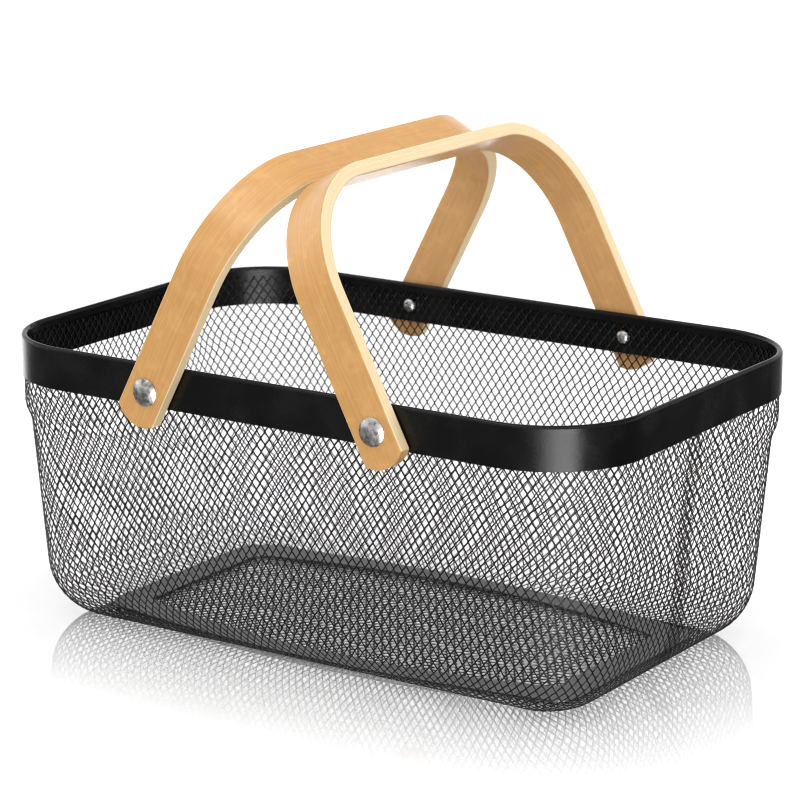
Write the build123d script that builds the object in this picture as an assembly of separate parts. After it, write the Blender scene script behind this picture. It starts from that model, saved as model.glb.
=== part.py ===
from build123d import *
import math
import os

# Wire produce basket: expanded-metal body, folded steel rim band, flat steel
# base ring and two bent-plywood bail handles on barrel-nut pivots.
# Frame: origin on the floor under the middle of the basket, +X along the
# long side to the right, +Y towards the back long side, +Z up.  Millimetres.
# An "inset" is a distance inwards from the outside outline of the rim band.

# ------------------------------------------------------------------ overall
RIM_LENGTH = 385.0         # outside, along X
RIM_WIDTH = 245.0          # outside, along Y
RIM_CORNER_R = 54.0        # outside corner radius, seen from above
BASKET_HEIGHT = 162.0      # floor to the top of the rolled rim
SHEET_GAP = 0.05           # slip between touching parts

# rim band: a steel strip with its top edge rolled inwards into a lip
BAND_THICK = 1.0
BAND_HEIGHT = 23.3         # roll included
BAND_CHAMFER = 0.25        # on the outer bottom edge
ROLL_R = 1.8               # outer radius of the roll
LIP_DEPTH = 5.2            # foot of the roll's inner leg, below the rim top
RIM_WIRE_R = 0.72          # wire inside the roll

# side wall: expanded metal held as a thin closed sheet
MESH_THICK = 0.8
MESH_INSET = 1.1           # outer face of the upper wall
MESH_TOP_DROP = 2.75       # top edge below the rim top, just under the wire
STEP_TOP_DROP = 37.0       # start of the shoulder, below the rim top
STEP_FOOT_DROP = 51.0      # end of the shoulder, below the rim top
STEP_INSET = 4.7           # outer face at the foot of the shoulder
STEP_BULGE = 0.42          # how far each half of the shoulder's S swings
STEP_FOOT_SHIFT = 0.02     # the inner face leaves the shoulder this much lower
HEEL_R = 34.5              # outside radius from the wall into the base
HEEL_INSET = 46.0          # where the heel runs flat into the base
FLANGE_INSET = 53.0        # inner edge of the wall's base flange

# base panel and the flat ring on top of it
BASE_INSET = 46.5
RING_LENGTH = 304.0
RING_WIDTH = 168.0         # in the middle, where the long sides bow out
RING_END_WIDTH = 136.0
RING_CORNER_R = 14.0
OPENING_LENGTH = 268.0
OPENING_WIDTH = 142.0      # in the middle
OPENING_END_WIDTH = 101.0
OPENING_CORNER_R = 3.0
RING_THICK = 0.9

# pivots
PIVOT_X = 72.2             # from the middle, along the long side
PIVOT_DROP = 13.3          # pivot axis below the rim top
BAND_HOLE_R = 2.2
MESH_HOLE_R = 2.3

# bent-plywood handles
PLY_WIDTH = 25.0
PLY_THICK = 7.5
PLY_EDGE_R = 0.7           # eased long edges
HANDLE_HEIGHT = 133.0      # pivot axis to the outer face of the grip
HANDLE_BEND_R = 60.6       # outer bend radius
HANDLE_GAP = 0.8           # room between strip and band for the washer
HANDLE_HOLE_R = 3.06
TIP_REACH = 20.0           # pivot axis to the tip of the leg
TIP_R = 17.0               # radius of the rounded leg end
TIP_MARGIN = 1.0           # excess around the leg end, for a clean trim
GRIP_GAP = 0.4             # between the two grips when they lean together

# barrel nut
NUT_HEAD_R = 7.6
NUT_HEAD_EDGE = 0.7        # height of the head's rim, under the dome
NUT_HEAD_HEIGHT = 3.3
NUT_UNDER_CHAMFER = 0.2    # underside of the head
NUT_TOP_CHAMFER = 0.15     # where the head's rim meets the dome
NUT_SHANK_R = 3.0
NUT_SHANK_START = 0.02     # end of the shank, off the band's outer face
NUT_BORE_R = 2.05
NUT_BORE_DEPTH = 7.4
NUT_BORE_CONE = 0.8        # height of the bore's conical end

# pivot screw (M4) with a cross recess
SCREW_R = 2.0
SCREW_LENGTH = 8.5
SCREW_TIP_CHAMFER = 0.5
SCREW_HEAD_R = 4.0
SCREW_HEAD_HEIGHT = 3.0
SCREW_HEAD_SIDE = 0.9      # straight side of the head
SCREW_DOME_MID = (0.9, 1.45)   # middle of the dome: inwards, past the side
SCREW_HEAD_FLAT_R = 1.6
RECESS_WIDTH = 0.9
RECESS_LENGTH = 4.3
RECESS_DEPTH = 1.6
RECESS_OVERRUN = 1.0       # how far the slot cutters stick out of the head
RECESS_CONE = (1.35, 0.35, 2.2)   # radius at the face, radius inside, height
RECESS_CONE_CENTRE = 0.9   # middle of the cone, in from the face

# spacer washer
WASHER_R = 7.2
WASHER_BORE_R = 3.25
WASHER_THICK = 0.7

# ------------------------------------------------------------------ derived
HALF_LENGTH = RIM_LENGTH / 2
HALF_WIDTH = RIM_WIDTH / 2
CORNER_X = HALF_LENGTH - RIM_CORNER_R
CORNER_Y = HALF_WIDTH - RIM_CORNER_R
PIVOT_Z = BASKET_HEIGHT - PIVOT_DROP
BASE_Z = MESH_THICK + SHEET_GAP
RING_Z = BASE_Z + MESH_THICK + SHEET_GAP
LEG_INNER_Y = HALF_WIDTH + HANDLE_GAP
LEG_OUTER_Y = LEG_INNER_Y + PLY_THICK
ARC_MID = math.sqrt(0.5)   # sine and cosine of 45 degrees

# the grips lean in until their facing edges are GRIP_GAP apart
GRIP_REACH = math.hypot(HANDLE_HEIGHT, PLY_WIDTH / 2)
LEAN = math.degrees(math.asin((PIVOT_X - GRIP_GAP / 2) / GRIP_REACH)
                    - math.atan2(PLY_WIDTH / 2, HANDLE_HEIGHT))

# signs of X and Y at each pivot
PIVOTS = {"front_left": (-1, -1), "front_right": (1, -1),
          "back_left": (-1, 1), "back_right": (1, 1)}


# ------------------------------------------------------------------ helpers
def save(name, shape):
    """Write one piece as parts/NAME.step."""
    solids = shape.solids()
    body = solids[0] if len(solids) == 1 else Compound(children=list(solids))
    export_step(body, "parts/" + name + ".step")


def closed_face(place, start, *steps):
    """Flat face inside a closed outline; place turns a 2D point into a 3D one.

    A step is a point, for a line to it, or a pair of points, for an arc
    through the first to the second.  A line closes the outline if needed.
    """
    first = here = place(start)
    edges = []
    for step in steps:
        if isinstance(step[0], tuple):
            middle, end = place(step[0]), place(step[1])
            edges.append(ThreePointArc(here, middle, end))
        else:
            end = place(step)
            edges.append(Line(here, end))
        here = end
    if math.dist(here, first) > 1e-9:
        edges.append(Line(here, first))
    return Face(Wire(edges))


def around_rim(*outline):
    """Carry a section, given as inset and height, round the rim's outline."""
    face = closed_face(lambda p: (RIM_CORNER_R - p[0], 0, p[1]), *outline)
    quarter = revolve(face, axis=Axis.Z, revolution_arc=90)
    corners = ((CORNER_X, CORNER_Y), (-CORNER_X, CORNER_Y),
               (-CORNER_X, -CORNER_Y), (CORNER_X, -CORNER_Y))
    pieces = [Pos(x, y, 0) * Rot(0, 0, 90 * k) * quarter
              for k, (x, y) in enumerate(corners)]
    # straight runs: x, y, turn, half length
    for x, y, turn, half in ((CORNER_X, 0, 0, CORNER_Y), (-CORNER_X, 0, 180, CORNER_Y),
                             (0, CORNER_Y, 90, CORNER_X), (0, -CORNER_Y, 270, CORNER_X)):
        run = extrude(Pos(0, -half, 0) * face, amount=2 * half, dir=(0, 1, 0))
        pieces.append(Pos(x, y, 0) * Rot(0, 0, turn) * run)
    whole = pieces[0]
    for piece in pieces[1:]:
        whole = whole + piece
    return whole


def turned(*outline):
    """Solid of revolution about Z from an outline of radius and height."""
    face = closed_face(lambda p: (p[0], 0, p[1]), *outline)
    return revolve(face, axis=Axis.Z, revolution_arc=360)


def with_pivot_holes(shape, wall_y, radius, length):
    """Drill the four pivot holes through the long sides."""
    for side_x, side_y in PIVOTS.values():
        place = Pos(side_x * PIVOT_X, side_y * wall_y, PIVOT_Z) * Rot(90, 0, 0)
        shape = shape - place * Cylinder(radius, length)
    return shape


def at_pivot(side_x, side_y, shape):
    """Place a piece built along +Z from the band's outer face onto one pivot."""
    turn = Rot(-90, 0, 0) if side_y > 0 else Rot(90, 0, 0)
    return Pos(side_x * PIVOT_X, side_y * HALF_WIDTH, PIVOT_Z) * turn * shape


# -------------------------------------------------------------- rim and wall
def rim_band():
    top = BASKET_HEIGHT
    bottom = top - BAND_HEIGHT
    roll_z = top - ROLL_R
    near, far = ROLL_R - ROLL_R * ARC_MID, ROLL_R + ROLL_R * ARC_MID
    arc_z = roll_z + ROLL_R * ARC_MID
    lip_outer = 2 * ROLL_R - BAND_THICK
    band = around_rim(
        (0.0, bottom + BAND_CHAMFER),
        (0.0, roll_z),
        ((near, arc_z), (ROLL_R, top)),
        ((far, arc_z), (2 * ROLL_R, roll_z)),
        (2 * ROLL_R, top - LIP_DEPTH),
        (lip_outer, top - LIP_DEPTH),
        (lip_outer, roll_z),
        ((ROLL_R, roll_z + ROLL_R - BAND_THICK), (BAND_THICK, roll_z)),
        (BAND_THICK, bottom),
        (BAND_CHAMFER, bottom),
    )
    return with_pivot_holes(band, HALF_WIDTH, BAND_HOLE_R, 4 * BAND_THICK)


def rim_wire():
    centre_z = BASKET_HEIGHT - ROLL_R
    outer, inner = ROLL_R - RIM_WIRE_R, ROLL_R + RIM_WIRE_R
    return around_rim(
        (outer, centre_z),
        ((ROLL_R, centre_z + RIM_WIRE_R), (inner, centre_z)),
        ((ROLL_R, centre_z - RIM_WIRE_R), (outer, centre_z)),
    )


def side_mesh():
    """Wall section: down the outer face to the flange, then back up inside."""
    mesh_top = BASKET_HEIGHT - MESH_TOP_DROP
    # S-shaped shoulder: two arcs that meet half way
    step_top = BASKET_HEIGHT - STEP_TOP_DROP
    step_foot = BASKET_HEIGHT - STEP_FOOT_DROP
    step_mid = (step_top + step_foot) / 2
    upper_z, lower_z = (step_top + step_mid) / 2, (step_mid + step_foot) / 2
    mid_inset = (MESH_INSET + STEP_INSET) / 2
    upper_inset = (MESH_INSET + mid_inset) / 2 - STEP_BULGE
    lower_inset = (mid_inset + STEP_INSET) / 2 + STEP_BULGE

    # the wall below the shoulder runs straight to a tangent point on the heel
    across, down = HEEL_INSET - STEP_INSET, step_foot - HEEL_R
    tangent = (math.atan2(down, -across)
               + math.acos(HEEL_R / math.hypot(across, down)))
    heel_mid = (tangent + 1.5 * math.pi) / 2

    def on_heel(radius, angle):
        return (HEEL_INSET + radius * math.cos(angle), HEEL_R + radius * math.sin(angle))

    inner_r = HEEL_R - MESH_THICK
    mesh = around_rim(
        (MESH_INSET, mesh_top),
        (MESH_INSET, step_top),
        ((upper_inset, upper_z), (mid_inset, step_mid)),
        ((lower_inset, lower_z), (STEP_INSET, step_foot)),
        on_heel(HEEL_R, tangent),
        (on_heel(HEEL_R, heel_mid), (HEEL_INSET, 0.0)),
        (FLANGE_INSET, 0.0),
        (FLANGE_INSET, MESH_THICK),
        (HEEL_INSET, MESH_THICK),
        (on_heel(inner_r, heel_mid), on_heel(inner_r, tangent)),
        (STEP_INSET + MESH_THICK, step_foot - STEP_FOOT_SHIFT),
        ((lower_inset + MESH_THICK, lower_z), (mid_inset + MESH_THICK, step_mid)),
        ((upper_inset + MESH_THICK, upper_z), (MESH_INSET + MESH_THICK, step_top)),
        (MESH_INSET + MESH_THICK, mesh_top),
    )
    wall_y = HALF_WIDTH - MESH_INSET - MESH_THICK / 2
    return with_pivot_holes(mesh, wall_y, MESH_HOLE_R, 4 * MESH_THICK)


# --------------------------------------------------------------------- base
def base_mesh():
    outline = RectangleRounded(RIM_LENGTH - 2 * BASE_INSET, RIM_WIDTH - 2 * BASE_INSET,
                               RIM_CORNER_R - BASE_INSET)
    return Pos(0, 0, BASE_Z) * extrude(outline, amount=MESH_THICK)


def bowed_plate(length, width, end_width, corner_r, thick):
    """Flat plate with straight ends and long sides that bow outwards."""
    x, y, bow_y = length / 2, end_width / 2, width / 2
    flat = closed_face(lambda p: (p[0], p[1], 0),
                       (-x, -y), (-x, y), ((0, bow_y), (x, y)),
                       (x, -y), ((0, -bow_y), (-x, -y)))
    flat = flat.fillet_2d(corner_r, flat.vertices())
    return extrude(flat, amount=thick, dir=(0, 0, 1))


def base_ring():
    plate = bowed_plate(RING_LENGTH, RING_WIDTH, RING_END_WIDTH, RING_CORNER_R, RING_THICK)
    opening = bowed_plate(OPENING_LENGTH, OPENING_WIDTH, OPENING_END_WIDTH,
                          OPENING_CORNER_R, 3 * RING_THICK)
    return Pos(0, 0, RING_Z) * (plate - Pos(0, 0, -RING_THICK) * opening)


# ------------------------------------------------------------------ handles
def leg_end_slab():
    """Slab across the strip's width whose foot is the rounded leg end."""
    start_y, depth = -200, 400     # clears both legs along Y
    half_ply = PLY_WIDTH / 2
    half_slab = half_ply + TIP_MARGIN
    arc_rise = math.sqrt(TIP_R ** 2 - half_ply ** 2)
    side_z = -TIP_REACH + TIP_R - arc_rise
    outer_z = side_z + TIP_MARGIN * half_ply / arc_rise
    top_z = HANDLE_HEIGHT + 5
    face = closed_face(lambda p: (p[0], start_y, p[1]),
                       (-half_slab, outer_z),
                       (-half_ply, side_z),
                       ((0, -TIP_REACH), (half_ply, side_z)),
                       (half_slab, outer_z),
                       (half_slab, top_z),
                       (-half_slab, top_z))
    return extrude(face, amount=depth, dir=(0, 1, 0))


def bent_strip():
    """Upright handle about its pivot axis: X across the strip, Y along the
    axis, Z up towards the grip."""
    outer, inner = LEG_OUTER_Y, LEG_INNER_Y
    inner_r = HANDLE_BEND_R - PLY_THICK
    bend_y, bend_z = outer - HANDLE_BEND_R, HANDLE_HEIGHT - HANDLE_BEND_R
    outer_arc, inner_arc = HANDLE_BEND_R * ARC_MID, inner_r * ARC_MID
    low = -TIP_REACH - TIP_MARGIN
    grip_z = HANDLE_HEIGHT - PLY_THICK
    face = closed_face(
        lambda p: (-PLY_WIDTH / 2, p[0], p[1]),
        (outer, low),
        (outer, bend_z),
        ((bend_y + outer_arc, bend_z + outer_arc), (bend_y, HANDLE_HEIGHT)),
        (-bend_y, HANDLE_HEIGHT),
        ((-bend_y - outer_arc, bend_z + outer_arc), (-outer, bend_z)),
        (-outer, low),
        (-inner, low),
        (-inner, bend_z),
        ((-bend_y - inner_arc, bend_z + inner_arc), (-bend_y, grip_z)),
        (bend_y, grip_z),
        ((bend_y + inner_arc, bend_z + inner_arc), (inner, bend_z)),
        (inner, low),
    )
    strip = extrude(face, amount=PLY_WIDTH, dir=(1, 0, 0))

    def is_long_edge(edge):
        """On a side face of the strip, but not across a leg's low end."""
        box = edge.bounding_box()
        return (abs(abs(edge.center().X) - PLY_WIDTH / 2) < 1e-6
                and (box.max.Z - box.min.Z > 1e-6
                     or abs(edge.center().Z - low) > 1e-6))

    strip = fillet([e for e in strip.edges() if is_long_edge(e)], PLY_EDGE_R)
    strip = strip & leg_end_slab()
    return strip - Rot(90, 0, 0) * Cylinder(HANDLE_HOLE_R, 2 * LEG_OUTER_Y + 10)


# ---------------------------------------------------------------- fasteners
# built along +Z from the band's outer face: washer, strip, domed head;
# the screw's head is on the inside, at negative Z
def barrel_nut():
    head_z = HANDLE_GAP + PLY_THICK + SHEET_GAP
    crown_z = head_z + NUT_HEAD_HEIGHT
    edge_z = head_z + NUT_HEAD_EDGE
    dome_edge_r = NUT_HEAD_R - NUT_TOP_CHAMFER
    rise = crown_z - edge_z
    dome_r = (dome_edge_r ** 2 + rise ** 2) / (2 * rise)
    half_angle = math.asin(dome_edge_r / dome_r) / 2
    dome_mid = (dome_r * math.sin(half_angle),
                crown_z - dome_r + dome_r * math.cos(half_angle))
    return turned(
        (NUT_BORE_R, NUT_SHANK_START),
        (NUT_SHANK_R, NUT_SHANK_START),
        (NUT_SHANK_R, head_z),
        (NUT_HEAD_R - NUT_UNDER_CHAMFER, head_z),
        (NUT_HEAD_R, head_z + NUT_UNDER_CHAMFER),
        (NUT_HEAD_R, edge_z - NUT_TOP_CHAMFER),
        (dome_edge_r, edge_z),
        (dome_mid, (0.0, crown_z)),
        (0.0, NUT_BORE_DEPTH + NUT_BORE_CONE),
        (NUT_BORE_R, NUT_BORE_DEPTH),
    )


def pivot_screw():
    seat_z = -(MESH_INSET + MESH_THICK + SHEET_GAP)
    tip_z = seat_z + SCREW_LENGTH
    side_z = seat_z - SCREW_HEAD_SIDE
    face_z = seat_z - SCREW_HEAD_HEIGHT
    dome_in, dome_past = SCREW_DOME_MID
    screw = turned(
        (0.0, tip_z),
        (SCREW_R - SCREW_TIP_CHAMFER, tip_z),
        (SCREW_R, tip_z - SCREW_TIP_CHAMFER),
        (SCREW_R, seat_z),
        (SCREW_HEAD_R, seat_z),
        (SCREW_HEAD_R, side_z),
        ((SCREW_HEAD_R - dome_in, side_z - dome_past), (SCREW_HEAD_FLAT_R, face_z)),
        (0.0, face_z),
    )
    slot = Box(RECESS_LENGTH, RECESS_WIDTH, RECESS_DEPTH + RECESS_OVERRUN)
    slot_z = face_z + (RECESS_DEPTH - RECESS_OVERRUN) / 2
    for turn in (0, 90):
        screw = screw - Pos(0, 0, slot_z) * Rot(0, 0, turn) * slot
    return screw - Pos(0, 0, face_z + RECESS_CONE_CENTRE) * Cone(*RECESS_CONE)


def spacer_washer():
    ring = Cylinder(WASHER_R, WASHER_THICK) - Cylinder(WASHER_BORE_R, WASHER_THICK + 2)
    return Pos(0, 0, SHEET_GAP + WASHER_THICK / 2) * ring


# -------------------------------------------------------------------- build
os.makedirs("parts", exist_ok=True)

save("rim_band", rim_band())
save("rim_wire", rim_wire())
save("side_mesh", side_mesh())
save("base_mesh", base_mesh())
save("base_ring", base_ring())

handle = bent_strip()
for side, side_x in (("left", -1), ("right", 1)):
    place = Pos(side_x * PIVOT_X, 0, PIVOT_Z) * Rot(0, -side_x * LEAN, 0)
    save("handle_" + side, place * handle)

fasteners = {"barrel_nut": barrel_nut(), "pivot_screw": pivot_screw(),
             "spacer_washer": spacer_washer()}
for where, (side_x, side_y) in PIVOTS.items():
    for name, fastener in fasteners.items():
        save(name + "_" + where, at_pivot(side_x, side_y, fastener))
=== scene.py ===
"""Black expanded-metal basket with two bent plywood handles.

It stands on z = 0, centred on the origin: long along X, front wall towards -Y, right end
towards +X. The handles turn on screws in the front and back walls and lean to the middle.
"""
import math

import bmesh
import bpy
import numpy as np
from mathutils import Matrix, Vector


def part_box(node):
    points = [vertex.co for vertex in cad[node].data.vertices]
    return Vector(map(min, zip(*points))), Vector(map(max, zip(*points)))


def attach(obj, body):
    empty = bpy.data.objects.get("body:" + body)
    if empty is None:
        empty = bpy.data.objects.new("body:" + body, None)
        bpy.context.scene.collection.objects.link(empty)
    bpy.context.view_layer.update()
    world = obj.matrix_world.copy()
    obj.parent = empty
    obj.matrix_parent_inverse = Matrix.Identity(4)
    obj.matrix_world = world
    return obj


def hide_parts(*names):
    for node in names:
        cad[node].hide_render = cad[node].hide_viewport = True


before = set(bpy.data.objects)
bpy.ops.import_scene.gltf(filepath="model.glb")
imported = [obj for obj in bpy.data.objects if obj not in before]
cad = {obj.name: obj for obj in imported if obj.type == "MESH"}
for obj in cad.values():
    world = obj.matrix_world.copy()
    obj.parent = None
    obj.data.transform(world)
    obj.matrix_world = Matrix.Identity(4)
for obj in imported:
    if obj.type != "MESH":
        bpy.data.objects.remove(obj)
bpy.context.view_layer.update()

MM = 0.001
scene = bpy.context.scene

# ---------------------------------------------------------------------------
# dimensions in mm, from the CAD boxes where a box gives them
# ---------------------------------------------------------------------------
low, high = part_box("rim_band")
HALF_L = (high.x - low.x) / 2 / MM
HALF_W = (high.y - low.y) / 2 / MM
TOP = high.z / MM
RIM_R = 54.0
CORNER_X, CORNER_Y = HALF_L - RIM_R, HALF_W - RIM_R     # corner centres
MESH_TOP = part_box("side_mesh")[1].z / MM
low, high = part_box("base_mesh")
BASE_L, BASE_W = (high.x - low.x) / MM, (high.y - low.y) / MM
BASE_MID = (low.z + high.z) / 2 / MM
BASE_R = 7.5

PIVOT_X, PIVOT_Z = 72.2, TOP - 13.3

# handle, measured upright from its pivot axis
PLY_W, PLY_T = 25.0, 7.5
PLY_EDGE = 0.7                              # rounding of the strip's long edges
HANDLE_H, HANDLE_R = 133.0, 60.6            # top of the bar, outer radius of the bends
LEG_OUT = HALF_W + 0.8 + PLY_T              # outer face of a leg
BEND_Y, BEND_Z = LEG_OUT - HANDLE_R, HANDLE_H - HANDLE_R
TIP, TIP_R = 20.0, 17.0                     # leg below the pivot, radius of its end
TIP_FROM = 9.0                              # height where the rows start to follow the tip
BORE_R = 3.06
BORE_SIDES = 64
BAR_GAP = 0.2                               # from a leaning bar's top edge to the middle
LEAN = (math.asin((PIVOT_X - BAR_GAP) / math.hypot(HANDLE_H, PLY_W / 2))
        - math.atan2(PLY_W / 2, HANDLE_H))


def new_mesh(name, verts, faces, smooth=True):
    mesh = bpy.data.meshes.new(name)
    mesh.from_pydata(np.asarray(verts).tolist(), [], faces)
    mesh.validate()
    if smooth:
        mesh.polygons.foreach_set("use_smooth", np.ones(len(mesh.polygons), bool))
    mesh.update()
    ob = bpy.data.objects.new(name, mesh)
    scene.collection.objects.link(ob)
    return ob


def smooth01(x):
    x = np.clip(x, 0, 1)
    return x * x * (3 - 2 * x)


# ---------------------------------------------------------------------------
# node trees written as formulas
# ---------------------------------------------------------------------------
class Value:
    """A node's output; arithmetic on it adds Math nodes."""

    def __init__(self, tree, socket):
        self.tree = tree
        self.socket = socket

    def sibling(self, key):
        return Value(self.tree, self.socket.node.outputs[key])

    def __add__(self, other):
        return self.tree.math("ADD", self, other)

    def __radd__(self, other):
        return self.tree.math("ADD", other, self)

    def __sub__(self, other):
        return self.tree.math("SUBTRACT", self, other)

    def __rsub__(self, other):
        return self.tree.math("SUBTRACT", other, self)

    def __mul__(self, other):
        return self.tree.math("MULTIPLY", self, other)

    def __abs__(self):
        return self.tree.math("ABSOLUTE", self)


class Tree:
    """A node tree emptied and ready to fill. Colours are given as RGB tuples."""

    def __init__(self, owner):
        owner.use_nodes = True
        self.tree = owner.node_tree
        self.tree.nodes.clear()

    def node(self, kind, inputs=None, output=0, **settings):
        made = self.tree.nodes.new(kind)
        for setting, value in settings.items():
            setattr(made, setting, value)
        for key, value in (inputs or {}).items():
            if isinstance(value, Value):
                self.tree.links.new(value.socket, made.inputs[key])
            elif isinstance(value, tuple):
                made.inputs[key].default_value = (*value, 1.0)
            else:
                made.inputs[key].default_value = value
        return Value(self, made.outputs[output])

    def finish(self, shader, kind="ShaderNodeOutputMaterial"):
        end = self.tree.nodes.new(kind)
        self.tree.links.new(shader.socket, end.inputs[0])

    def math(self, operation, *values):
        return self.node("ShaderNodeMath", dict(enumerate(values)), operation=operation)

    def ramp(self, value, start, end, low=0.0, high=1.0, smooth=True):
        return self.node(
            "ShaderNodeMapRange",
            {"Value": value, "From Min": start, "From Max": end, "To Min": low, "To Max": high},
            interpolation_type="SMOOTHSTEP" if smooth else "LINEAR", clamp=True)

    def mix(self, factor, a, b, blend="MIX"):
        return self.node("ShaderNodeMix", {0: factor, 6: a, 7: b}, output=2,
                         data_type="RGBA", blend_type=blend, clamp_factor=True)

    def noise(self, vector, scale, detail=2.0, rough=0.5, distort=0.0):
        return self.node("ShaderNodeTexNoise", {
            "Vector": vector, "Scale": scale, "Detail": detail,
            "Roughness": rough, "Distortion": distort})

    def vec(self, x, y, z):
        return self.node("ShaderNodeCombineXYZ", {0: x, 1: y, 2: z})

    def split(self, vector):
        x = self.node("ShaderNodeSeparateXYZ", {0: vector})
        return x, x.sibling(1), x.sibling(2)

    def bump(self, height, strength, distance):
        return self.node("ShaderNodeBump",
                         {"Height": height, "Strength": strength, "Distance": distance})

    def position(self):
        return self.node("ShaderNodeNewGeometry", output="Position")

    def bsdf(self, **inputs):
        named = {key.replace("_", " "): value for key, value in inputs.items()}
        self.finish(self.node("ShaderNodeBsdfPrincipled", named))


def material(name):
    made = bpy.data.materials.new(name)
    return made, Tree(made)


# ---------------------------------------------------------------------------
# materials
# ---------------------------------------------------------------------------
def powder_coat(name, rough=0.24, spec=0.24, peel=1.0,
                base=(0.0028, 0.0028, 0.0032), lift=(0.0065, 0.0063, 0.0061)):
    """Black gloss powder coat: orange peel, slow waviness, faint dust and uneven gloss."""
    made, tree = material(name)
    pos = tree.position()
    cloud = tree.noise(pos, scale=38.0, detail=3.0, rough=0.55)
    orange_peel = tree.noise(pos, scale=720.0)
    wave = tree.noise(pos, scale=190.0)
    dust = tree.ramp(tree.noise(pos, scale=2600.0, detail=1.0), start=0.70, end=0.80)
    colour = tree.mix(tree.ramp(cloud, start=0.35, end=0.72), base, lift)
    colour = tree.mix(dust * 0.10, colour, (0.10, 0.10, 0.10))
    gloss = tree.ramp(cloud, start=0.3, end=0.75, low=rough - 0.04, high=rough + 0.07)
    gloss = gloss + (orange_peel - 0.5) * 0.06
    relief = orange_peel * 0.6 + wave * 1.0
    tree.bsdf(Base_Color=colour, Roughness=gloss, Specular_IOR_Level=spec,
              Normal=tree.bump(relief, strength=0.16 * peel, distance=0.00035))
    return made


def bare_wire(name):
    """Drawn steel wire with patchy tone."""
    made, tree = material(name)
    patch = tree.noise(tree.position(), scale=90.0, detail=3.0, rough=0.6)
    drawn = tree.noise(tree.position(), scale=1500.0)
    colour = tree.mix(tree.ramp(patch, start=0.3, end=0.75),
                      (0.20, 0.19, 0.18), (0.34, 0.33, 0.32))
    tree.bsdf(Base_Color=colour, Metallic=1.0,
              Roughness=tree.ramp(patch, start=0.3, end=0.8, low=0.32, high=0.5),
              Normal=tree.bump(drawn, strength=0.15, distance=0.0001))
    return made


def nickel(name):
    """Cloudy nickel plate with a fine texture."""
    made, tree = material(name)
    pos = tree.position()
    cloud = tree.noise(pos, scale=330.0, detail=4.0, rough=0.62, distort=0.6)
    fine = tree.noise(pos, scale=2400.0)
    colour = tree.mix(tree.ramp(cloud, start=0.36, end=0.66),
                      (0.34, 0.33, 0.32), (0.66, 0.65, 0.635))
    rough = tree.ramp(cloud, start=0.35, end=0.70, low=0.24, high=0.40)
    relief = cloud * 1.0 + fine * 0.12
    tree.bsdf(Base_Color=colour, Metallic=1.0, Roughness=rough,
              Normal=tree.bump(relief, strength=0.30, distance=0.00035))
    return made


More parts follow.
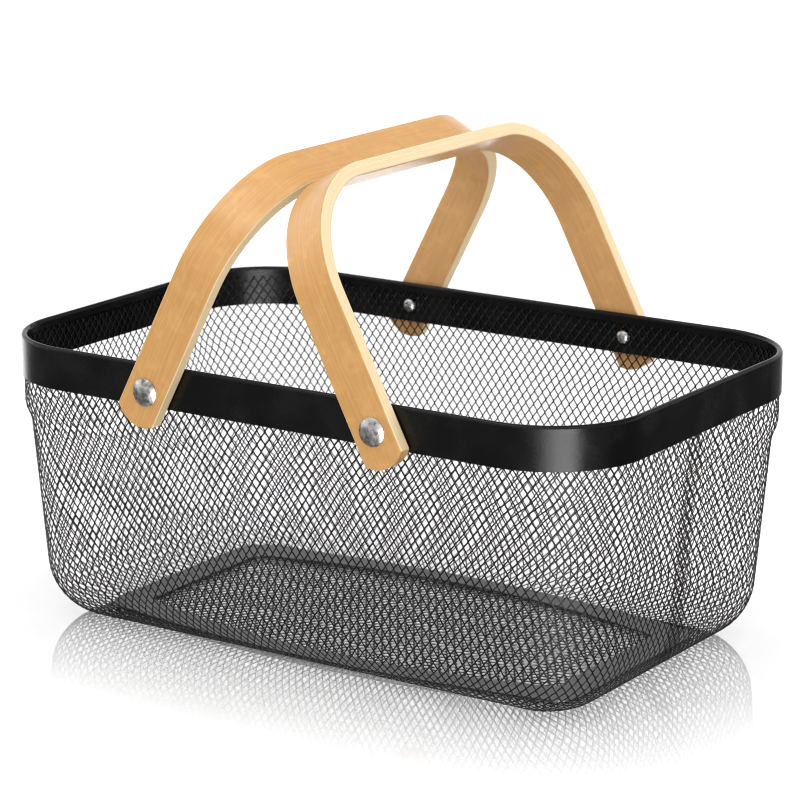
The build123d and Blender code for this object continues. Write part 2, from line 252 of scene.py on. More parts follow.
def plywood(name, seed):
    """Bent plywood: veneer grain runs along the strip, thin laminations show on its edges.

    The attribute "strip" carries mm along the strip, across it and through it; "edge" is
    0 on the veneer and 1 on the laminations."""
    made, tree = material(name)
    along, across, depth = tree.split(
        tree.node("ShaderNodeAttribute", output="Vector", attribute_name="strip"))
    edge = tree.node("ShaderNodeAttribute", output="Fac", attribute_name="edge")

    def grain(x, y, offset, detail=2.0, rough=0.5, distort=0.0):
        """Noise whose x and y are already scaled to features per mm."""
        return tree.noise(tree.vec(x, y, seed + offset), scale=1.0,
                          detail=detail, rough=rough, distort=distort)

    def tint(colour, noise, start, end, amount, towards):
        return tree.mix(tree.ramp(noise, start=start, end=end) * amount, colour, towards)

    # veneer
    warp = grain(along * 0.012, across * 0.09, offset=0.0)
    warped = across + (warp - 0.5) * 7.0
    streak = grain(along * 0.020, warped * 0.95, offset=3.1, detail=4.0, rough=0.62)
    fine = grain(along * 0.075, across * 5.2, offset=7.7, detail=3.0, rough=0.6)
    pores = grain(along * 0.42, across * 6.5, offset=1.3, rough=0.55)
    figure = grain(along * 0.10, across * 0.10, offset=11.0, detail=3.0, rough=0.6, distort=0.5)
    flame = grain((along + across * 0.35) * 0.16, across * 0.03, offset=5.0)
    veneer = tree.mix(tree.ramp(streak, start=0.28, end=0.74),
                      (0.590, 0.290, 0.082), (0.690, 0.372, 0.112))
    veneer = tint(veneer, fine, start=0.45, end=0.78, amount=0.30, towards=(0.50, 0.222, 0.056))
    veneer = tint(veneer, figure, start=0.46, end=0.74, amount=0.42,
                  towards=(0.785, 0.455, 0.148))
    veneer = tint(veneer, flame, start=0.50, end=0.80, amount=0.20, towards=(0.55, 0.255, 0.072))
    veneer = tint(veneer, pores, start=0.66, end=0.80, amount=0.40, towards=(0.42, 0.190, 0.048))
    # painted sheen: the inner face is painted paler and pinker and the outer face slightly deeper,
    # standing in for the varnish's reflection on the inner faces
    inner = tree.ramp(depth, start=PLY_T * 0.4, end=PLY_T * 0.6)
    painted_face_sheen = tree.mix(inner, (0.925, 0.915, 0.86), (1.06, 1.09, 1.26))
    veneer = tree.mix(1.0, veneer, painted_face_sheen, "MULTIPLY")

    # six laminations on the long edges and the ends, with glue lines between them
    plies = depth * (6.0 / PLY_T)
    wobble = grain(along * 0.05, 0.0, offset=2.0)
    within = tree.math("FRACT", plies + (wobble - 0.5) * 0.10)
    glue = 1.0 - (1.0 - tree.ramp(abs(within - 0.5), start=0.40, end=0.495))
    alternate = tree.math("MODULO", tree.math("FLOOR", plies), 2.0)
    end_grain = grain(along * 0.9, depth * 1.6, offset=9.0, detail=3.0, rough=0.6)
    long_grain = grain(along * 0.05, depth * 3.0, offset=4.0, detail=3.0, rough=0.6)
    long_ply = tree.mix(tree.ramp(long_grain, start=0.3, end=0.7),
                        (0.73, 0.560, 0.325), (0.81, 0.650, 0.415))
    end_ply = tree.mix(tree.ramp(end_grain, start=0.3, end=0.7),
                       (0.69, 0.500, 0.270), (0.79, 0.615, 0.370))
    layers = tree.mix(alternate * 0.55, long_ply, end_ply)
    layers = tree.mix(glue * 0.42, layers, (0.55, 0.36, 0.17))
    colour = tree.mix(edge, veneer, layers)

    # surface: lacquered veneer, duller edges; the roughness rides in the x of a vector
    veneer_rough = tree.ramp(streak, start=0.3, end=0.8, low=0.30, high=0.40)
    rough = tree.mix(edge, tree.vec(veneer_rough, 0.0, 0.0), tree.vec(0.55, 0.0, 0.0))
    rough = tree.split(rough)[0]
    relief = fine * 0.5 + (pores * -0.35 + glue * -0.5)
    tree.bsdf(Base_Color=colour, Roughness=rough, Specular_IOR_Level=0.85 - edge * 0.45,
              Normal=tree.bump(relief, strength=0.22, distance=0.00018),
              Coat_Weight=0.48 - edge * 0.40, Coat_Roughness=0.20, Coat_IOR=1.45)
    return made


BAND_COAT = powder_coat("black_powder_coat_band")
MESH_COAT = powder_coat("black_powder_coat_mesh", rough=0.34, peel=0.6)
# painted sheen: this ring is the same black coat as the band, but its base colour is made lighter
# to stand in for the white surroundings it reflects at a grazing angle
RING_COAT_PAINTED_SHEEN = powder_coat("black_powder_coat_ring_painted_sheen", rough=0.30, spec=1.0, peel=1.2,
                        base=(0.024, 0.024, 0.0245), lift=(0.042, 0.0415, 0.041))
WIRE_METAL = bare_wire("bare_wire_rim")
NUT_METAL = nickel("nickel_plate_nut")
SCREW_METAL = nickel("nickel_plate_screw")
PLY_LEFT = plywood("bent_plywood_left", seed=0.0)
PLY_RIGHT = plywood("bent_plywood_right", seed=31.0)


# ---------------------------------------------------------------------------
# the wall's profile: middle of the sheet, from its top edge down to the flange,
# as (inset from the rim's outline, z)
# ---------------------------------------------------------------------------
HALF_T = 0.4                                # half the sheet's envelope
INSET_TOP = 1.1 + HALF_T                    # above the shoulder
INSET_LOW = 4.7 + HALF_T                    # just under the shoulder
SHOULDER_TOP, SHOULDER_LOW = TOP - 37.0, TOP - 51.0
SHOULDER_BOW = 0.42                         # how far each shoulder arc leaves its chord
HEEL_INSET, HEEL_Z = 46.0, 34.5             # centre of the heel's curve
HEEL_R = HEEL_Z - HALF_T
FLANGE_END = 53.0


def arc_through(start, middle, end, count):
    """Points on the arc from start to end by way of middle."""
    (ax, ay), (mx, my), (bx, by) = start, middle, end
    double_area = 2 * (ax * (my - by) + mx * (by - ay) + bx * (ay - my))
    a2, m2, b2 = ax**2 + ay**2, mx**2 + my**2, bx**2 + by**2
    centre_x = (a2 * (my - by) + m2 * (by - ay) + b2 * (ay - my)) / double_area
    centre_y = (a2 * (bx - mx) + m2 * (ax - bx) + b2 * (mx - ax)) / double_area
    radius = math.hypot(ax - centre_x, ay - centre_y)
    first, via, last = (math.atan2(y - centre_y, x - centre_x) for x, y in (start, middle, end))
    # take the turn of the last angle that passes the middle point
    for k in (-1, 0, 1):
        turned = last + 2 * math.pi * k
        between = min(first, turned) - 1e-9 <= via <= max(first, turned) + 1e-9
        if abs(turned - first) < 2 * math.pi and between:
            last = turned
            break
    return [(centre_x + radius * math.cos(a), centre_y + radius * math.sin(a))
            for a in np.linspace(first, last, count)]


def wall_profile():
    def heel(angle):
        return HEEL_INSET + HEEL_R * math.cos(angle), HEEL_Z + HEEL_R * math.sin(angle)

    # angle at which the straight wall touches the heel's curve
    run, rise = HEEL_INSET - INSET_LOW, HEEL_Z - SHOULDER_LOW
    touch = math.atan2(-rise, -run) + math.acos(HEEL_R / math.hypot(run, rise))
    touch_inset, touch_z = heel(touch)
    top = (INSET_TOP, SHOULDER_TOP)
    middle = ((INSET_TOP + INSET_LOW) / 2, (SHOULDER_TOP + SHOULDER_LOW) / 2)
    bottom = (INSET_LOW, SHOULDER_LOW)

    def shoulder(start, end, bow):
        via = (start[0] + (end[0] - start[0]) * 0.5 + bow, (start[1] + end[1]) / 2)
        return arc_through(start, via, end, 16)[1:]

    points = [(INSET_TOP, z) for z in np.linspace(MESH_TOP - 0.05, SHOULDER_TOP, 30)]
    points += shoulder(top, middle, -SHOULDER_BOW)
    points += shoulder(middle, bottom, SHOULDER_BOW)
    points += [(INSET_LOW + (touch_inset - INSET_LOW) * q,
                SHOULDER_LOW + (touch_z - SHOULDER_LOW) * q) for q in np.linspace(0, 1, 30)[1:]]
    points += [heel(a) for a in np.linspace(touch, 1.5 * math.pi, 60)[1:]]
    points += [(x, HALF_T) for x in np.linspace(HEEL_INSET, FLANGE_END, 12)[1:]]
    return np.array(points)


PROFILE = wall_profile()
# length down the profile at each point, and the outward normal there (outward part, up part)
PATH = np.concatenate([[0], np.cumsum(np.hypot(*np.diff(PROFILE, axis=0).T))])
slope = np.gradient(PROFILE, PATH, axis=0)
slope /= np.hypot(slope[:, 0], slope[:, 1])[:, None]
PROFILE_NORMAL = np.stack([-slope[:, 1], -slope[:, 0]], 1)

# Wall coordinates: "around" runs 0..PERIMETER from the middle of the front wall by way of the
# right end; "height" is measured along the sheet and equals z at REF_Z.
PERIMETER = 1140.0
HALF_ROUND, QUARTER = PERIMETER / 2, PERIMETER / 4
REF_Z = 118.0
SHEET_TOP = REF_Z + float(np.interp(-REF_Z, -PROFILE[:, 1], PATH))
SHEET_END = SHEET_TOP - PATH[-1]


def wall(around, height, offset=0.0):
    """Points and normals on the wall, offset mm outwards from the sheet's middle."""
    path = np.clip(SHEET_TOP - height, 0, PATH[-1])
    inset, z, out_part, up_part = (
        np.interp(path, PATH, column) for column in (*PROFILE.T, *PROFILE_NORMAL.T))
    length = np.hypot(out_part, up_part)
    out_part, up_part = out_part / length, up_part / length
    radius = RIM_R - inset
    bend = radius * math.pi / 2
    around = np.mod(around, PERIMETER)
    quarter = np.floor(around / QUARTER).astype(int)
    part = around - QUARTER * quarter
    # mm along one quarter of the outline, from the middle of its long wall
    run = np.where(quarter % 2 == 0, part, QUARTER - part) * (CORNER_X + CORNER_Y + bend) / QUARTER
    turn = np.clip((run - CORNER_X) / radius, 0, math.pi / 2)
    x = np.where(run < CORNER_X, run, CORNER_X + radius * np.sin(turn))
    y = np.where(run > CORNER_X + bend, CORNER_Y - (run - CORNER_X - bend),
                 CORNER_Y + radius * np.cos(turn))
    sign_x = np.where(quarter < 2, 1.0, -1.0)
    sign_y = np.where((quarter == 0) | (quarter == 3), -1.0, 1.0)
    normals = np.stack([sign_x * np.sin(turn) * out_part,
                        sign_y * np.cos(turn) * out_part, up_part], -1)
    return np.stack([sign_x * x, sign_y * y, z], -1) + normals * offset, normals


# ---------------------------------------------------------------------------
# expanded metal: every bond and strand is real geometry
# ---------------------------------------------------------------------------
COLS = 214                                  # diamonds round the wall
HALF_COL = PERIMETER / (2 * COLS)
ROW_H = 7.6                                 # long way of one diamond
ARCH = 16.3                                 # how far the rows dip towards the short ends
FAN = 0.0005                                # how much the columns fan out towards the top
STRAND_W, BOND_W, BOND_L = 0.72, 1.05, 0.48
STRAND_T = 0.42
TILT = 0.11                                 # how far each bond leans out of the sheet
ROWS = int((SHEET_TOP - SHEET_END + 2 * ARCH + 12) / (ROW_H / 2))
SHEAR, SEAM_SHEAR, SEAM_REACH = 1.35, 2.4, 70.0     # sideways pull at the shoulder
SHEAR_FROM, SHEAR_RISE = 110.0, 16.0
SHANK_HOLE_R, SHANK_CLEAR_R = 2.3, 2.75     # cells dropped, and vertices pushed clear
SHANK_Y = 110.0                             # the shanks lie beyond this |y|

SEAM_AROUND = 278.0                         # lap seam, near the middle of the right end
SEAM_COLUMN = int(round(SEAM_AROUND / HALF_COL)) // 2 * 2
SEAM_SHIFT = (0.75, 1.0)                    # around, up
SEAM_OFFSET = -0.72                         # inside the first layer

BASE_COL, BASE_ROW = 5.3, 7.8               # pitch of the base's diamonds


def lattice_wall(i, j, up=0.0, shift=(0.0, 0.0)):
    """Wall coordinates of i half columns round and j half rows down from the top."""
    pitch = i * HALF_COL + shift[0]
    level = SHEET_TOP + ARCH + 2.0 - j * (ROW_H / 2) + up + shift[1]
    height = level - ARCH * (1 - np.cos(np.pi * pitch / QUARTER)) / 2
    local = np.mod(pitch + QUARTER, HALF_ROUND) - QUARTER
    fan = np.exp(FAN * (level - REF_Z))
    around = (pitch - local) + (HALF_ROUND / np.pi) * np.arctan(
        np.tan(np.pi * local / HALF_ROUND) * fan)
    # small shear where the shoulder was pressed, the other way beside the seam
    near_seam = np.exp(-((np.mod(pitch, PERIMETER) - QUARTER) / SEAM_REACH) ** 2)
    shear = SHEAR * (1 - near_seam) - SEAM_SHEAR * near_seam
    around = around + shear * smooth01((height - SHEAR_FROM) / SHEAR_RISE)
    # slow unevenness: mm of drift times sines of place in radians per mm
    around = around + (0.22 * np.sin(pitch * 0.071 + height * 0.050)
                       * np.sin(height * 0.083 + 1.0))
    height = height + 0.18 * np.sin(pitch * 0.055 - height * 0.040 + 0.7)
    return around, height


def shank_offsets(points):
    """For the left and right pivots: sign, x and z from the shank, distance, wall points."""
    for sign in (-1, 1):
        dx, dz = points[:, 0] - sign * PIVOT_X, points[:, 2] - PIVOT_Z
        yield sign, dx, dz, np.hypot(dx, dz), np.abs(points[:, 1]) > SHANK_Y


def place_wall(shift=(0.0, 0.0), offset=0.0):
    def place(i, j, up):
        around, height = lattice_wall(i, j, up, shift)
        points, normals = wall(around, np.clip(height, SHEET_END, SHEET_TOP), offset)
        # clear the four screw shanks
        for sign, dx, dz, distance, on_wall in shank_offsets(points):
            near = (distance < SHANK_CLEAR_R) & on_wall
            push = np.where(near, SHANK_CLEAR_R / np.maximum(distance, 1e-3), 1.0)
            points[:, 0] = np.where(near, sign * PIVOT_X + dx * push, points[:, 0])
            points[:, 2] = np.where(near, PIVOT_Z + dz * push, points[:, 2])
        return points, normals
    return place


def place_base(i, j, up):
    x = i * BASE_COL / 2
    y = -j * BASE_ROW / 2 + up
    # slow unevenness, as on the wall
    x = x + 0.15 * np.sin(y * 0.09 + x * 0.03)
    y = y + 0.15 * np.sin(x * 0.07 + 1.2)
    normals = np.zeros((len(x), 3))
    normals[:, 2] = 1.0
    return np.stack([x, y, np.full(len(x), BASE_MID)], -1), normals


def lattice_cells(columns, rows):
    """Indices of the hole centres, where i + j is odd."""
    i, j = np.meshgrid(columns, rows, indexing="ij")
    odd = (i + j) % 2 == 1
    return i[odd], j[odd]


def expanded(place, cells, strand_width, bond_width):
    """One closed mesh of diamonds round the hole centres in cells.

    place(i, j, up) gives (points, normals) for lattice indices and mm up."""
    i, j = cells.T
    needed = np.concatenate([np.stack([i, j - 1], 1), np.stack([i, j + 1], 1),
                             np.stack([i - 1, j], 1), np.stack([i + 1, j], 1)])
    bonds, inverse = np.unique(needed, axis=0, return_inverse=True)
    top, bottom, left, right = inverse.reshape(4, -1)
    count = len(bonds)
    # upper ends of the bonds, then lower ends
    ends = [place(bonds[:, 0], bonds[:, 1], sign * BOND_L / 2) for sign in (1, -1)]
    middles, normals = (np.concatenate(part) for part in zip(*ends))
    lean = np.repeat([TILT, -TILT], count)
    # six corners of each hole, anticlockwise from outside
    ring = np.stack([count + top, left, count + left, bottom, count + right, right], 1)
    corners = middles[ring]
    cell_normal = normals[ring].mean(1)
    cell_normal /= np.linalg.norm(cell_normal, axis=1)[:, None]
    edges = np.roll(corners, -1, axis=1) - corners
    edges = edges / np.maximum(np.linalg.norm(edges, axis=2, keepdims=True), 1e-6)
    inward = np.cross(cell_normal[:, None, :], edges)
    inward /= np.maximum(np.linalg.norm(inward, axis=2, keepdims=True), 1e-9)
    half = np.array([strand_width, bond_width, strand_width] * 2) / 2
    # mitre each corner between its two edges
    before, half_before = np.roll(inward, 1, axis=1), np.roll(half, 1)
    cosine = np.clip((before * inward).sum(2), -0.55, 0.97)
    sine2 = 1 - cosine * cosine
    hole = (corners + before * ((half_before - half * cosine) / sine2)[..., None]
            + inward * ((half - half_before * cosine) / sine2)[..., None])
    # strands are thinner at the hole's rim than along their middles
    hole_normal, hole_lean, rim = normals[ring], lean[ring] * 0.5, STRAND_T * 0.24
    verts = np.concatenate([
        middles + normals * (lean + STRAND_T / 2)[:, None],
        middles + normals * (lean - STRAND_T / 2)[:, None],
        (hole + hole_normal * (hole_lean + rim)[..., None]).reshape(-1, 3),
        (hole + hole_normal * (hole_lean - rim)[..., None]).reshape(-1, 3)])
    inner = 2 * count                       # offset from outer to inner middles
    outer_rim = 4 * count + np.arange(ring.size).reshape(-1, 6)
    inner_rim = outer_rim + ring.size
    ring_next, outer_next, inner_next = (
        np.roll(loop, -1, 1) for loop in (ring, outer_rim, inner_rim))
    faces = [np.stack(quad, -1).reshape(-1, 4) for quad in (
        (ring, ring_next, outer_next, outer_rim),
        (outer_rim, outer_next, inner_next, inner_rim),
        (inner_rim, inner_next, ring_next + inner, ring + inner))]
    # close the sheet where a strand has a hole on one side only
    a, b = ring.ravel(), ring_next.ravel()
    key = np.minimum(a, b).astype(np.int64) * (2 * count) + np.maximum(a, b)
    _, which, uses = np.unique(key, return_inverse=True, return_counts=True)
    lone = uses[which] == 1
    a, b = a[lone], b[lone]
    faces.append(np.stack([b, a, a + inner, b + inner], -1))
    return verts, np.concatenate(faces).tolist()


def add_panel(name, replaced, place, i, j, strand_width=STRAND_W, bond_width=BOND_W):
    verts, faces = expanded(place, np.stack([i, j], 1), strand_width, bond_width)
    ob = new_mesh(name, verts * MM, faces)
    ob.data.materials.append(MESH_COAT)
    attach(ob, "basket")
    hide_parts(replaced)


def add_side_panels():
    """Four panels, cut from one lattice half a quarter either side of each wall's middle."""
    i, j = lattice_cells(np.arange(2 * COLS), np.arange(1, ROWS))
    around, height = lattice_wall(i, j)
    points, _ = wall(around, np.clip(height, SHEET_END, SHEET_TOP))
    keep = (height < SHEET_TOP - 2.4) & (height > SHEET_END + 2.4)
    for _, _, _, distance, on_wall in shank_offsets(points):
        keep &= ~((distance < SHANK_HOLE_R) & on_wall)
    i, j = i[keep], j[keep]
    panel = (i * HALF_COL + QUARTER / 2) // QUARTER % 4
    # keep indices continuous across the start of the count
    i = np.where((panel == 0) & (i > COLS), i - 2 * COLS, i)
    for number, side in enumerate(("front", "right", "back", "left")):
        here = panel == number
        add_panel(f"side_mesh_{side}", "side_mesh", place_wall(), i[here], j[here])


def add_lap_seam():
    """Second layer of the lap seam, inside the first, two to three diamonds wide."""
    i, j = lattice_cells(np.arange(-2, 3), np.arange(1, ROWS))
    i = i + SEAM_COLUMN
    _, height = lattice_wall(i, j, shift=SEAM_SHIFT)
    keep = (height < SHEET_TOP - 3.0) & (height > SHEET_END + 26.0)
    add_panel("side_mesh_lap_seam", "side_mesh", place_wall(SEAM_SHIFT, SEAM_OFFSET),
              i[keep], j[keep])


def add_base():
    i, j = lattice_cells(np.arange(-62, 63), np.arange(-24, 25))
    # keep the hole centres inside a rounded rectangle within the panel
    radius = BASE_R - 3.5
    beyond_x = np.abs(i * BASE_COL / 2) - (BASE_L / 2 - 3.9 - radius)
    beyond_y = np.abs(j * BASE_ROW / 2) - (BASE_W / 2 - 4.6 - radius)
    keep = np.hypot(np.maximum(beyond_x, 0), np.maximum(beyond_y, 0)) <= radius
    add_panel("base_mesh_panel", "base_mesh", place_base, i[keep], j[keep],
              strand_width=0.92, bond_width=1.30)


add_side_panels()
add_lap_seam()
add_base()


# ---------------------------------------------------------------------------
# bent plywood handles, built upright about the pivot axis
# ---------------------------------------------------------------------------
def half_section():
    """The strip's outer half as (across, depth), from one edge's middle to the other's."""
    half = PLY_W / 2
    flat = half - PLY_EDGE
    points = [(-half, PLY_T / 2), (-half, PLY_T * 0.3), (-half, PLY_EDGE)]
    points += [(-flat - PLY_EDGE * math.cos(a), PLY_EDGE - PLY_EDGE * math.sin(a))
               for a in np.linspace(0, math.pi / 2, 6)[1:]]
    points += [(across, 0.0) for across in np.linspace(-flat, flat, 9)[1:]]
    points += [(flat + PLY_EDGE * math.cos(a), PLY_EDGE - PLY_EDGE * math.sin(a))
               for a in np.linspace(math.pi / 2, 0, 6)[1:]]
    return points + [(half, PLY_T * 0.3), (half, PLY_T / 2)]


def tip_z(across):
    return -TIP + TIP_R - np.sqrt(TIP_R**2 - across * across)


def strip_point(part, q, across, depth):
    """(distance from the middle, z) of a section point at station q of a part."""
    if part == "tip":
        return LEG_OUT - depth, TIP_FROM + (tip_z(across) - TIP_FROM) * q
    if part == "leg":
        return LEG_OUT - depth, q
    if part == "bend":
        radius = HANDLE_R - depth
        return BEND_Y + radius * math.cos(q), BEND_Z + radius * math.sin(q)
    return q, HANDLE_H - depth


def strip_mesh():
    outer = half_section()
    last = len(outer) - 1
    loop = outer + [(across, PLY_T - depth) for across, depth in reversed(outer[1:-1])]
    n = len(loop)
    stations = [("tip", q) for q in np.linspace(1, 0, 7)]
    stations += [("leg", q) for q in np.linspace(TIP_FROM, BEND_Z, 9)[1:-1]]
    stations += [("bend", q) for q in np.linspace(0, math.pi / 2, 33)]
    stations += [("bar", q) for q in np.linspace(BEND_Y, 0, 10)[1:]]
    verts = []
    for side, sequence in ((-1, stations), (1, stations[-2::-1])):
        for part, q in sequence:
            for across, depth in loop:
                y, z = strip_point(part, q, across, depth)
                verts.append((across, side * y, z))
    rings = len(verts) // n
    faces = []
    for r in range(rings - 1):
        for k in range(n):
            k2 = (k + 1) % n
            faces.append((r * n + k, r * n + k2, (r + 1) * n + k2, (r + 1) * n + k))
    # end caps join each outer point to the inner one behind it
    behind = [0] + [n - k for k in range(1, last)] + [last]
    for r, step in ((0, -1), (rings - 1, 1)):
        for k in range(last):
            corners = dict.fromkeys((k, k + 1, behind[k + 1], behind[k]))
            faces.append(tuple(r * n + corner for corner in corners)[::step])
    return verts, faces


def face_outwards(mesh):
    bm = bmesh.new()
    bm.from_mesh(mesh)
    bmesh.ops.recalc_face_normals(bm, faces=bm.faces)
    bm.to_mesh(mesh)
    bm.free()


def cut_bore(ob, side):
    """Cut the pivot bore through the leg on one side."""
    a = np.linspace(0, 2 * math.pi, BORE_SIDES + 1)[:-1]
    ring = np.stack([BORE_R * np.cos(a), np.zeros(BORE_SIDES), BORE_R * np.sin(a)], 1)
    ends = [ring + [0, side * y, 0] for y in (LEG_OUT - PLY_T - 2, LEG_OUT + 2)]
    n = BORE_SIDES
    faces = [(k, (k + 1) % n, n + (k + 1) % n, n + k) for k in range(n)]
    faces += [tuple(range(n - 1, -1, -1)), tuple(range(n, 2 * n))]
    cutter = new_mesh("cutter", np.concatenate(ends), faces, smooth=False)
    face_outwards(cutter.data)
    bore = ob.modifiers.new("bore", "BOOLEAN")
    bore.operation = "DIFFERENCE"
    bore.solver = "EXACT"
    bore.object = cutter
    bpy.context.view_layer.update()
    depsgraph = bpy.context.evaluated_depsgraph_get()
    cut = bpy.data.meshes.new_from_object(ob.evaluated_get(depsgraph))
    ob.modifiers.clear()
    ob.data = cut
    bpy.data.objects.remove(cutter)


def add_strip_attributes(mesh):
    """Store "strip" (along, across, depth in mm) and "edge" (1 on the laminations)."""
    places = np.zeros(len(mesh.vertices) * 3, np.float32)
    mesh.vertices.foreach_get("co", places)
    x, y, z = places.reshape(-1, 3).astype(float).T
    out = np.abs(y)
    on_leg = z < BEND_Z
    on_bar = (out < BEND_Y) & (z >= BEND_Z)
    angle = np.arctan2(np.maximum(z - BEND_Z, 0), np.maximum(out - BEND_Y, 1e-6))
    radius = np.hypot(out - BEND_Y, z - BEND_Z)
    mid_radius = HANDLE_R - PLY_T / 2
    depth = np.where(on_leg, LEG_OUT - out, np.where(on_bar, HANDLE_H - z, HANDLE_R - radius))
    along = np.where(on_leg, BEND_Z - z + mid_radius * math.pi / 2 + BEND_Y,
                     np.where(on_bar, out, BEND_Y + mid_radius * (math.pi / 2 - angle)))
    along = np.sign(np.where(y == 0, 1, y)) * along
    strip = mesh.attributes.new("strip", "FLOAT_VECTOR", "POINT")
    strip.data.foreach_set("vector", np.stack([along, x, depth], 1).astype(np.float32).ravel())
    # the laminations show from just inside the long edges, and on the tips
    long_edge = smooth01((np.abs(x) - (PLY_W / 2 - 0.42)) / 0.20)
    tip_end = (z < tip_z(x) + 0.02) & (depth > 0.05) & (depth < PLY_T - 0.05)
    edge = mesh.attributes.new("edge", "FLOAT", "POINT")
    edge.data.foreach_set("value", np.maximum(long_edge, tip_end).astype(np.float32))


def add_handle(side, lean_sign, ply):
    """One handle, pivoting at -lean_sign * PIVOT_X and leaning towards the middle."""
    name = f"plywood_handle_{side}"
    ob = new_mesh(name, *strip_mesh())
    face_outwards(ob.data)
    for leg in (-1, 1):
        cut_bore(ob, leg)
    mesh = ob.data
    mesh.name = name
    add_strip_attributes(mesh)
    c, s = math.cos(lean_sign * LEAN), math.sin(lean_sign * LEAN)
    mesh.transform(Matrix(((c, 0, s, 0), (0, 1, 0, 0), (-s, 0, c, 0), (0, 0, 0, 1))))
    mesh.transform(Matrix.Translation((-lean_sign * PIVOT_X, 0, PIVOT_Z)))
    mesh.transform(Matrix.Scale(MM, 4))
    mesh.polygons.foreach_set("use_smooth", np.ones(len(mesh.polygons), bool))
    mesh.set_sharp_from_angle(angle=math.radians(28))
    mesh.materials.clear()
    mesh.materials.append(ply)
    mesh.update()
    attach(ob, f"handle_{side}")
    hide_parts(f"handle_{side}")


add_handle("left", 1, PLY_LEFT)
add_handle("right", -1, PLY_RIGHT)


# ---------------------------------------------------------------------------
# finishes of the CAD nodes that stay, by the start of their names
# ---------------------------------------------------------------------------
def dress(node, finish):
    mesh = cad[node].data
    mesh.materials.clear()
    mesh.materials.append(finish)
    mesh.polygons.foreach_set("material_index", np.zeros(len(mesh.polygons), np.int32))


for name in cad:
    if name.startswith("barrel_nut"):
        dress(name, NUT_METAL)
    elif name.startswith(("pivot_screw", "spacer_washer")):
        dress(name, SCREW_METAL)
dress("rim_band", BAND_COAT)
dress("rim_wire", WIRE_METAL)
dress("base_ring", RING_COAT_PAINTED_SHEEN)


# ---------------------------------------------------------------------------
# floor, world, camera (metres)
# ---------------------------------------------------------------------------
def floor_material():
    """Matt pale floor whose reflection fades away from the basket's footprint."""
    made, tree = material("studio_floor")
    pos = tree.position()
    x, y, _ = tree.split(pos)
    beyond_x = tree.math("MAXIMUM", abs(x) - 0.150, 0.0)
    beyond_y = tree.math("MAXIMUM", abs(y) - 0.080, 0.0)
    distance = tree.math("SQRT", beyond_x * beyond_x + beyond_y * beyond_y)
    fade = tree.ramp(distance, start=0.0, end=0.118, low=1.0, high=0.0, smooth=False)
    tint = tree.mix(tree.ramp(tree.noise(pos, scale=3.0), start=0.3, end=0.7),
                    (0.75, 0.75, 0.753), (0.76, 0.76, 0.76))
    matt = tree.node("ShaderNodeBsdfDiffuse", {0: tint})
    rough = tree.ramp(tree.noise(pos, scale=30.0), start=0.3, end=0.7, low=0.030, high=0.045)
    gloss = tree.node("ShaderNodeBsdfGlossy", {0: (1, 1, 1), "Roughness": rough})
    fresnel = tree.node("ShaderNodeFresnel", {"IOR": 1.45})
    share = tree.math("MINIMUM", fresnel * 3.8, 0.9) * fade
    tree.finish(tree.node("ShaderNodeMixShader", {0: share, 1: matt, 2: gloss}))
    return made


def add_floor(half=12.0):
    corners = [(-half, -half, 0), (half, -half, 0), (half, half, 0), (-half, half, 0)]
    floor = new_mesh("studio_floor", corners, [(0, 1, 2, 3)], smooth=False)
    floor.data.materials.append(floor_material())
    floor.visible_glossy = False


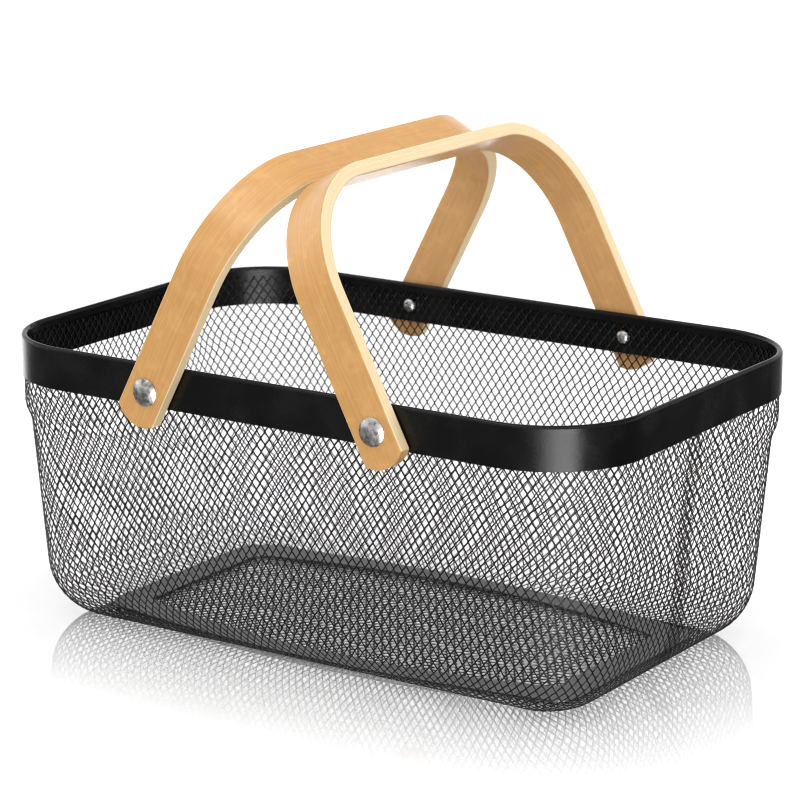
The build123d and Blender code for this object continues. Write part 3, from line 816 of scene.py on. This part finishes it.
def build_world():
    world = bpy.data.worlds.new("studio")
    scene.world = world
    tree = Tree(world)
    ramp = tree.ramp
    x, y, z = tree.split(tree.node("ShaderNodeTexCoord", output="Generated"))
    # degrees: azimuth is 0 towards -Y and 90 towards +X
    azimuth = tree.math("ARCTAN2", x, y * -1.0) * (180 / math.pi)
    elevation = tree.math("ARCSINE", z) * (180 / math.pi)

    def window(angle, rise, fall):
        """1 between two soft borders, each given as (outside, inside) degrees."""
        return ramp(angle, *rise) * ramp(angle, *fall)

    # polished surfaces: a bright wall behind and to the left
    back = ramp(y, start=0.05, end=0.40) * ramp(x, start=-0.08, end=-0.36)
    band = window(elevation, rise=(-32.0, -18.0), fall=(34.0, 20.0))
    polished = 0.23 + back * band * ramp(elevation, start=-6.0, end=8.0, low=2.3, high=0.75)
    # darker behind and to the right
    dark = ramp(y, start=-0.05, end=0.30) * ramp(x, start=0.15, end=0.45)
    polished = polished - dark * 0.14
    # overhead boxes
    over = window(elevation, rise=(38.0, 50.0), fall=(74.0, 62.0))
    over = over * ramp(y, start=0.25, end=-0.05)
    polished = polished + (over * 1.7 + ramp(elevation, start=60.0, end=75.0) * 0.45)
    # strong low box at the front right
    box = (window(azimuth, rise=(16.0, 42.0), fall=(64.0, 59.5))
           * window(elevation, rise=(-62.0, -44.0), fall=(12.0, -1.0)))
    # pale horizon all round
    glow = window(elevation, rise=(-1.0, 4.0), fall=(34.0, 22.0)) * (1.0 - back)
    polished = polished + glow * 0.62
    polished = polished + box * 10.5
    # soft box on the left
    left = (window(azimuth, rise=(-120.0, -95.0), fall=(-50.0, -70.0))
            * window(elevation, rise=(-8.0, 8.0), fall=(45.0, 30.0)))
    polished = polished + left * 0.8

    # matt surfaces: brighter from the right, from above and a little from the front
    matt = 0.50 + ramp(x, start=-0.5, end=0.9) * 0.38
    matt = matt + (ramp(z, start=0.1, end=0.95) * 1.42 + ramp(y, start=-0.2, end=-0.9) * 0.10)
    glossy_ray = tree.node("ShaderNodeLightPath", output="Is Glossy Ray")
    light = tree.mix(glossy_ray, tree.vec(matt, matt, matt),
                     tree.vec(polished, polished, polished))
    light = tree.mix(glossy_ray.sibling("Is Camera Ray"), light, (2.1, 2.1, 2.1))
    tree.finish(tree.node("ShaderNodeBackground", {0: light}), "ShaderNodeOutputWorld")
    world.cycles.sampling_method = "NONE"


def add_camera():
    lens = bpy.data.cameras.new("camera")
    camera = bpy.data.objects.new("camera", lens)
    scene.collection.objects.link(camera)
    camera.location = (0.9675, -1.4399, 0.5735)
    view = Vector((-0.5411, 0.8053, -0.2423)).normalized()
    camera.rotation_mode = "QUATERNION"
    camera.rotation_quaternion = view.to_track_quat("-Z", "Y")
    lens.sensor_width = 36.0
    lens.lens = 147.33
    lens.shift_x = 0.00275
    lens.shift_y = -0.02925
    lens.clip_start = 0.05
    lens.clip_end = 60.0
    focus = bpy.data.objects.new("focus_point", None)
    scene.collection.objects.link(focus)
    focus.location = (0.06, -0.118, 0.085)
    lens.dof.use_dof = True
    lens.dof.focus_object = focus
    lens.dof.aperture_fstop = 24.0
    scene.camera = camera


add_floor()
build_world()
add_camera()
scene.view_settings.view_transform = "Standard"
scene.cycles.filter_width = 1.0
